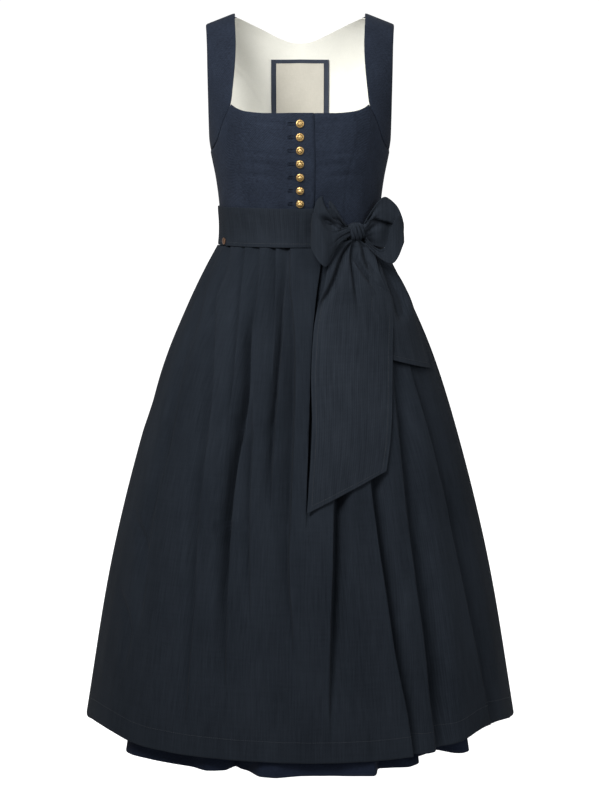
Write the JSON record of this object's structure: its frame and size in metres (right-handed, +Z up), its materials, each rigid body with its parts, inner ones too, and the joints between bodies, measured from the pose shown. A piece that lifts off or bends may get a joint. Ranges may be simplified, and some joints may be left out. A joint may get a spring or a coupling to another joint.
{
  "type": "dirndl",
  "caption": "Sleeveless dirndl: square-necked buttoned bodice on wide straps, pleated midi skirt and a pleated apron tied in a large bow on the wearer's left.",
  "frame": {"origin": "under the shoulder straps, midway between them, where the wearer's shoulders carry the dress", "axes": "+Z up along the body, -Y to the front where the buttons are, +Y to the back, +X to the wearer's left"},
  "size_m": [0.6832, 0.5739, 1.1139],
  "materials": {
    "bodice_cloth": "matt navy cloth with a fine cross rib",
    "skirt_cloth": "matt navy plain weave",
    "apron_cloth": "dark charcoal navy herringbone with a soft sheen",
    "lining_cloth": "cream cotton lining",
    "patch_cloth": "navy woven border",
    "label_cloth": "bare ecru woven label",
    "buttons": "antique gold",
    "stud": "antique brass"
  },
  "bodies": {
    "root": {"bodice_front_left": "bodice_cloth", "bodice_front_right": "bodice_cloth", "strap_left": "bodice_cloth", "strap_right": "bodice_cloth", "bodice_back_centre": "bodice_cloth", "bodice_back_side_left": "bodice_cloth", "bodice_back_side_right": "bodice_cloth", "back_lining": "lining_cloth", "label_patch": "patch_cloth", "label": "label_cloth", "button_1": "buttons", "button_2": "buttons", "button_3": "buttons", "button_4": "buttons", "button_5": "buttons", "button_6": "buttons", "button_7": "buttons", "skirt_front": "skirt_cloth", "skirt_back": "skirt_cloth", "apron_panel": "apron_cloth", "apron_band": "apron_cloth", "apron_tie_back": "apron_cloth", "bow_knot": "apron_cloth", "bow_loop_left": "apron_cloth", "bow_loop_right": "apron_cloth", "bow_end_long": "apron_cloth", "bow_end_short": "apron_cloth", "band_stud": "stud"}
  },
  "joints": []
}
